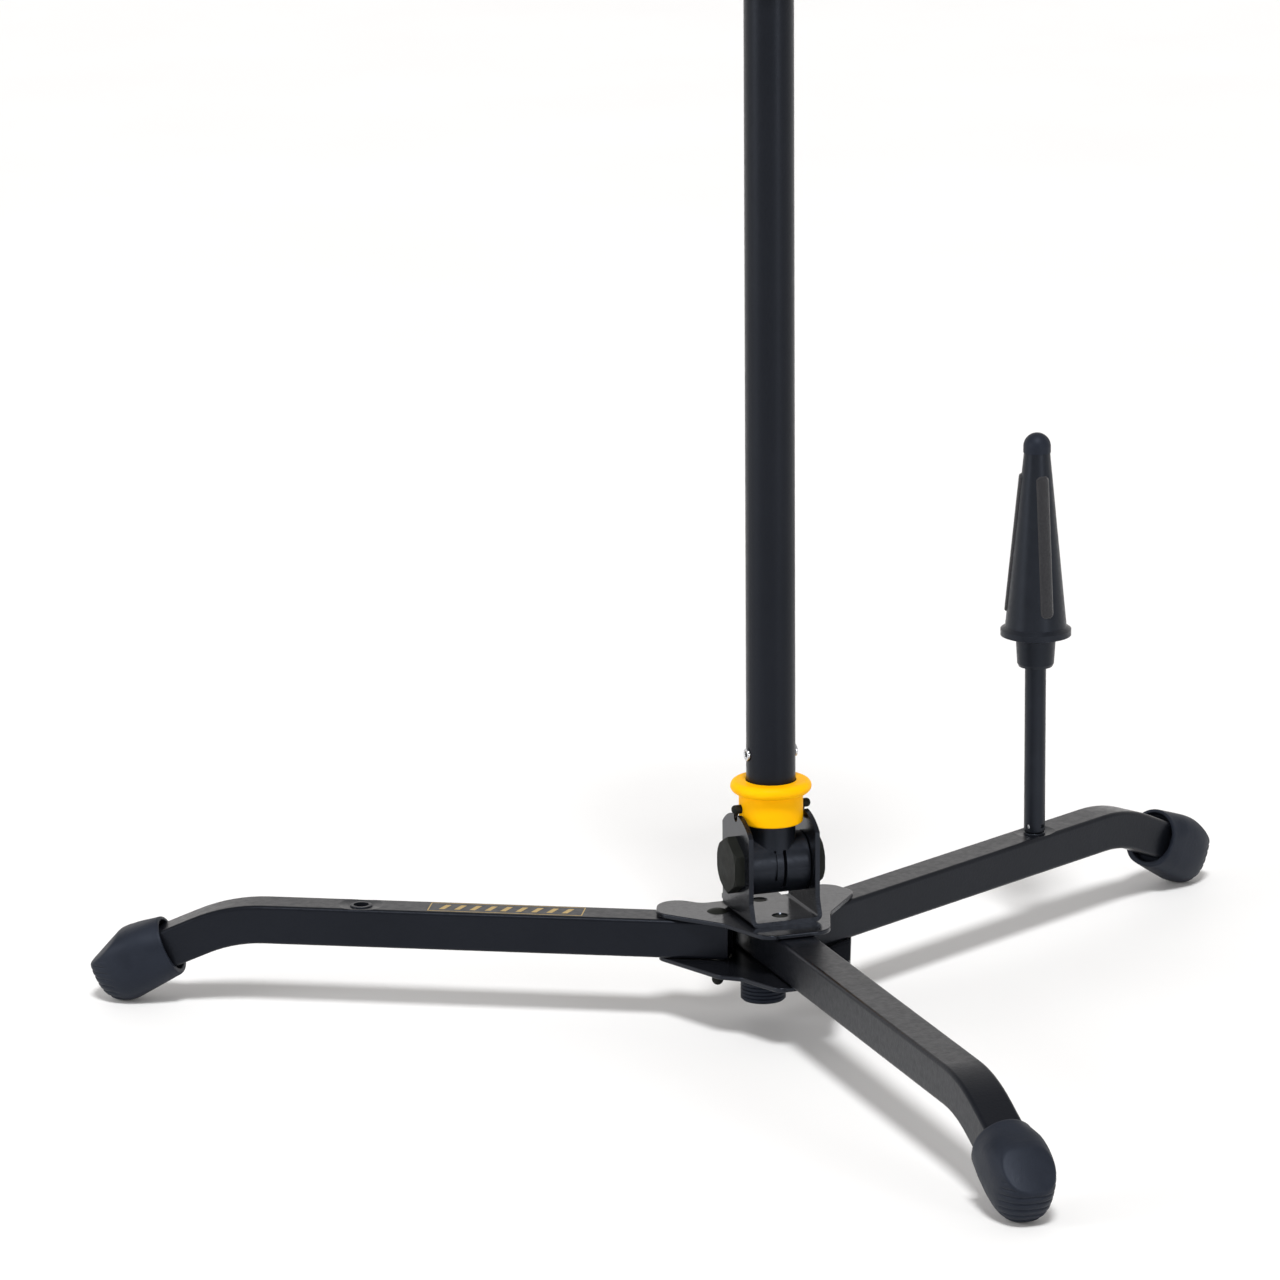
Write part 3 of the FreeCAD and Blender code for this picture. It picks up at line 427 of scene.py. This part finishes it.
def boot_inside():
    """Rings from the bottom of the square bore up to the round recess in the boot's mouth."""
    turn = np.linspace(0.0, 2 * math.pi, BOOT_AROUND, endpoint=False)
    half = LEG_SIZE / 2 + BORE_CLEARANCE
    corners = np.abs(np.cos(turn)) ** BORE_SQUARENESS + np.abs(np.sin(turn)) ** BORE_SQUARENESS
    square = half / corners ** (1 / BORE_SQUARENESS)
    circle = np.ones(BOOT_AROUND)
    stations = [
        (BORE_DEPTH, square),
        (BORE_DEPTH - 0.1 * MM, square),
        (RECESS_DEPTH + 0.2 * MM, square),
        (RECESS_DEPTH, square + BORE_LEAD),
        (RECESS_DEPTH, (RECESS_RADIUS - RECESS_FILLET) * circle),
        (RECESS_DEPTH - RECESS_FILLET, RECESS_RADIUS * circle),
        (0.6 * MM, RECESS_RADIUS * circle),
        (0.1 * MM, (RECESS_RADIUS + RIM_FLARE) * circle),
    ]
    return [np.stack([along + 0 * turn, radius * np.cos(turn), radius * np.sin(turn)], -1)
            for along, radius in stations]


def add_boots():
    """A rubber boot on each leg, placed from the farthest and highest points of its CAD solid."""
    low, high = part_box("fixed_leg_boot")
    height = high.z - MOUTH_RADIUS * math.cos(BEND)
    rings = np.concatenate([boot_inside(), boot_outside(height)])
    along, across, up = rings[..., 0], rings[..., 1], rings[..., 2]
    level = along * math.cos(BEND) + up * math.sin(BEND)
    rise = np.clip(boot_rise(along, up, height), 0.0, None)
    for leg, angle in ANGLES.items():
        fixed = leg == "fixed_leg"
        longer = 0.0 if fixed else SWIVEL_LONGER
        outward = POST.y - low.y - NOSE_REACH + longer + level
        x = POST.x + outward * math.cos(angle) - across * math.sin(angle)
        y = POST.y + outward * math.sin(angle) + across * math.cos(angle)
        body = "base" if fixed else leg
        points = np.stack([x, y, rise], -1)
        add_piece(leg + "_rubber_boot", points, "rubber", body, [leg + "_boot"], 50.0)


add_boots()


# ---------------------------------------------------------------- felt

RING_WIDTH, RING_MARGIN = 14.0 * MM, 0.3 * MM
RING_AROUND, RING_SECTION = 180, 36           # points
SIDE_ROUNDING, TOP_ROUNDING = 0.45, 0.6       # below 1 is squarer than a circle
CROWN = 0.47                                  # of the ring's thickness
LUMP_SIZE, LUMP_DEPTH, LUMP_SINK = 9.0 * MM, 0.12 * MM, 0.1 * MM
FLANGE_HEIGHT = 22.0 * MM                     # of the peg's flange above the foot of its cone
CONE_RADIUS, CONE_TAPER = 20.5 * MM, 0.1      # at the flange, and per height
STRIP_LIFT, STRIP_THICK = 0.12 * MM, 1.5 * MM
STRIP_HALF = 4.4 * MM
STRIP_LONG, STRIP_WIDE = 92, 14               # steps along and across a strip
STRIP_END, STRIP_SHOULDER = 3.0 * MM, 1.2 * MM


def lumps(points, size, depth, seed):
    """A soft unevenness for each point, the same on every run."""
    offset = Vector((7.3 * seed, 3.1 * seed, 5.7 * seed))
    return np.array([depth * noise.noise(Vector(point) / size + offset) for point in points])


def add_felt_ring():
    """The felt ring that the bell rim stands on: crowned, with soft shoulders."""
    low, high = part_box("bell_rest_pad")
    outer, thick = (high.x - low.x) / 2, high.z - low.z
    inner = outer - RING_WIDTH
    middle_radius, half_width = (outer + inner) / 2, (outer - inner) / 2
    turn = np.linspace(0.0, 2 * math.pi, RING_AROUND, endpoint=False)
    section = np.linspace(0.0, 2 * math.pi, RING_SECTION, endpoint=False)
    across = np.sign(np.cos(section)) * np.abs(np.cos(section)) ** SIDE_ROUNDING
    up = np.sign(np.sin(section)) * np.abs(np.sin(section)) ** TOP_ROUNDING
    up = np.where(up < 0, -1.0, up)
    rings = []
    for angle in turn:
        radius = middle_radius + across * (half_width - RING_MARGIN)
        height = low.z + thick * (0.5 + CROWN * up)
        ring = np.stack([radius * math.cos(angle), radius * math.sin(angle), height], -1)
        rings.append(ring + np.array([POST.x, POST.y, 0.0]))
    rings = np.array(rings)
    flat = rings.reshape(-1, 3)
    top = flat[:, 2] > low.z + 0.5 * thick
    flat[top, 2] += lumps(flat[top], LUMP_SIZE, LUMP_DEPTH, 1) - LUMP_SINK
    pad = add_piece("bell_rest_felt", rings, "felt", "inner_post", ["bell_rest_pad"], 70.0, closed=True)


def strip_points(angle):
    """The points of one felt strip: rings across it, one after another up the cone."""
    low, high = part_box("peg_pads")
    cone_low, cone_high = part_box("peg_cone")
    axis = (cone_low + cone_high) / 2
    flange = cone_low.z + FLANGE_HEIGHT
    outward = np.array([math.cos(angle), math.sin(angle)])
    sideways = np.array([-outward[1], outward[0]])
    points = []
    for station in range(STRIP_LONG + 1):
        height = low.z + (high.z - low.z) * station / STRIP_LONG
        surface = CONE_RADIUS - CONE_TAPER * (height - flange) + STRIP_LIFT
        end = min(station, STRIP_LONG - station) * (high.z - low.z) / STRIP_LONG
        width = STRIP_HALF * min(1.0, (0.25 + end / STRIP_END) ** 0.5)
        for face in (0, 1):
            for step in range(STRIP_WIDE + 1):
                side = (2.0 * step / STRIP_WIDE - 1.0) * (1 - 2 * face)
                crown = (1.0 - abs(side) ** 4) ** 0.5 * min(1.0, (end / STRIP_SHOULDER) ** 0.5)
                across = side * width
                out = math.sqrt(surface ** 2 - across ** 2) + (0.0 if face else STRIP_THICK * crown)
                place = outward * out + sideways * across
                points.append((axis.x + place[0], axis.y + place[1], height))
    return points


def add_felt_strips():
    """Three felt strips down the cone of the peg, with crowned faces and rounded ends."""
    around = 2 * (STRIP_WIDE + 1)
    points, faces = [], []
    for strip in range(3):
        first = len(points)
        points.extend(strip_points(math.radians(30.0 + 120.0 * strip)))
        for station in range(STRIP_LONG):
            ring = first + station * around
            for k in range(around):
                here, after = ring + k, ring + (k + 1) % around
                faces.append((here, after, after + around, here + around))
    strips = add_mesh("peg_felt", points, faces, "felt", "trumpet_peg", ["peg_pads"], 80.0)


add_felt_ring()
add_felt_strips()


# ---------------------------------------------------------------- printed panel

PRINT_LIFTS = (0.02 * MM, 0.06 * MM)    # under and upper side of the print, above the leg


def add_bar(points, faces, centre, along, across, length, width, slant=0.0):
    """Adds a flat bar to a list of points and faces, lying on top of a leg."""
    first = len(points)
    for end, side in ((-1, -1), (1, -1), (1, 1), (-1, 1)):
        place = centre + along * (end * length / 2 + side * slant) + across * side * width / 2
        for lift in PRINT_LIFTS:
            points.append((place[0], place[1], LEG_TOP + lift))
    quads = [(0, 2, 4, 6), (7, 5, 3, 1), (0, 1, 3, 2), (2, 3, 5, 4), (4, 5, 7, 6), (6, 7, 1, 0)]
    faces.extend(tuple(first + corner for corner in quad) for quad in quads)


PANEL_NEAR, PANEL_FAR, PANEL_HALF = 119.0 * MM, 217.0 * MM, 8.6 * MM    # from the post; half width
LINE_WIDTH = 0.7 * MM
BARS = 9
BAR_LENGTH, BAR_WIDTH, BAR_SLANT = 3.6 * MM, 9.6 * MM, 1.6 * MM


def add_panel():
    """A plain gold-lined panel on the left leg, with a row of slanted bars and no lettering."""
    angle = ANGLES["left_leg"]
    along = np.array([math.cos(angle), math.sin(angle)])
    across = np.array([-along[1], along[0]])
    post = np.array([POST.x, POST.y])
    length = PANEL_FAR - PANEL_NEAR
    points, faces = [], []
    for side, end in ((-1, PANEL_NEAR), (1, PANEL_FAR)):
        edge = post + along * (PANEL_NEAR + PANEL_FAR) / 2 + across * side * PANEL_HALF
        add_bar(points, faces, edge, along, across, length + LINE_WIDTH, LINE_WIDTH)
        add_bar(points, faces, post + along * end, along, across, LINE_WIDTH, 2 * PANEL_HALF)
    for bar in range(BARS):
        place = post + along * (PANEL_NEAR + length * (bar + 1.0) / (BARS + 1.0))
        add_bar(points, faces, place, along, across, BAR_LENGTH, BAR_WIDTH, slant=BAR_SLANT)
    add_mesh("left_leg_panel", points, faces, None, "left_leg", (), 20.0)


add_panel()


# ---------------------------------------------------------------- floor, light and camera

FLOOR_HALF = 30.0                  # metres
BACKDROP = (0.34, 0.94, 0.0)       # the direction in which the surroundings are brightest
STAND_MIDDLE = (0.0, 0.1, 0.3)     # where the side lights aim


def floor_material():
    """An even pale grey."""
    look = Look("floor", (0.86, 0.86, 0.86), 0.6)
    dark, pale = (0.3, (0.85, 0.85, 0.85)), (0.7, (0.87, 0.87, 0.87))
    look.feed("Base Color", look.shades(look.noise(3.0, 3.0), dark, pale))
    return look.material


def add_floor():
    """A wide pale floor."""
    corners = [(x * FLOOR_HALF, y * FLOOR_HALF, 0) for x, y in ((-1, -1), (1, -1), (1, 1), (-1, 1))]
    mesh = bpy.data.meshes.new("floor")
    mesh.from_pydata(corners, [], [(0, 1, 2, 3)])
    floor = bpy.data.objects.new("floor", mesh)
    bpy.context.scene.collection.objects.link(floor)
    mesh.materials.append(floor_material())


def add_light(name, place, target, size, power):
    """A soft square light aimed at a point."""
    light = bpy.data.lights.new(name, "AREA")
    light.shape = "SQUARE"
    light.size = size
    light.energy = power
    holder = bpy.data.objects.new(name, light)
    holder.location = place
    holder.rotation_euler = (Vector(target) - Vector(place)).to_track_quat("-Z", "Y").to_euler()
    bpy.context.scene.collection.objects.link(holder)


def smooth_range(nodes, low, high, new_low, new_high):
    """A world node that lays one range smoothly out over another."""
    made = nodes.new("ShaderNodeMapRange")
    made.interpolation_type = "SMOOTHSTEP"
    values = {"From Min": low, "From Max": high, "To Min": new_low, "To Max": new_high}
    for socket, value in values.items():
        made.inputs[socket].default_value = value
    return made


def add_world():
    """Soft studio surroundings: a bright backdrop behind the stand, dimmer in front and overhead."""
    world = bpy.data.worlds.new("studio")
    bpy.context.scene.world = world
    world.use_nodes = True
    nodes, links = world.node_tree.nodes, world.node_tree.links
    facing = nodes.new("ShaderNodeVectorMath")
    facing.operation = "DOT_PRODUCT"
    facing.inputs[1].default_value = BACKDROP
    strength = smooth_range(nodes, -0.5, 0.9, 0.50, 1.10)
    height = nodes.new("ShaderNodeSeparateXYZ")
    overhead = smooth_range(nodes, 0.25, 0.8, 1.0, 0.45)
    product = nodes.new("ShaderNodeMath")
    product.operation = "MULTIPLY"
    background = nodes["Background"]
    background.inputs["Color"].default_value = (1.0, 0.975, 0.955, 1.0)
    direction = nodes.new("ShaderNodeTexCoord").outputs["Generated"]
    links.new(direction, facing.inputs[0])
    links.new(direction, height.inputs[0])
    links.new(facing.outputs["Value"], strength.inputs["Value"])
    links.new(height.outputs["Z"], overhead.inputs["Value"])
    links.new(strength.outputs["Result"], product.inputs[0])
    links.new(overhead.outputs["Result"], product.inputs[1])
    links.new(product.outputs["Value"], background.inputs["Strength"])


def add_sun():
    """A broad overhead light, a little in front of the stand, that keeps the floor evenly white."""
    light = bpy.data.lights.new("overhead", "SUN")
    light.energy = 2.6
    light.angle = math.radians(14.0)
    holder = bpy.data.objects.new("overhead", light)
    holder.rotation_euler = Vector((0.16, 0.50, -1.0)).to_track_quat("-Z", "Y").to_euler()
    bpy.context.scene.collection.objects.link(holder)


def add_camera():
    """The photographer's place: low, from the left of the fixed leg, with a long lens."""
    azimuth, elevation, roll = (math.radians(v) for v in (-19.687, 14.455, -0.428))
    distance, aim_height, aim_right = 4.3768, 0.2488, -0.0809
    back = Vector((math.sin(azimuth) * math.cos(elevation),
                   -math.cos(azimuth) * math.cos(elevation),
                   math.sin(elevation)))
    right = (-back).cross(Vector((0, 0, 1))).normalized()
    up = right.cross(-back)
    place = POST + Vector((0, 0, aim_height)) + right * aim_right + back * distance
    across = right * math.cos(roll) + up * math.sin(roll)
    above = up * math.cos(roll) - right * math.sin(roll)
    camera = bpy.data.cameras.new("camera")
    camera.sensor_width = 36.0
    camera.lens = 198.5
    camera.clip_start, camera.clip_end = 0.1, 60.0
    holder = bpy.data.objects.new("camera", camera)
    turn = Matrix((across, above, back)).transposed().to_4x4()
    holder.matrix_world = Matrix.Translation(place) @ turn
    bpy.context.scene.collection.objects.link(holder)
    bpy.context.scene.camera = holder


add_floor()
add_world()
add_sun()
add_light("left", (-2.6, 0.0, 0.9), STAND_MIDDLE, size=0.9, power=22.0)
add_light("right", (1.0, -2.6, 0.7), STAND_MIDDLE, size=0.5, power=14.0)
add_camera()
bpy.context.scene.view_settings.view_transform = "Standard"
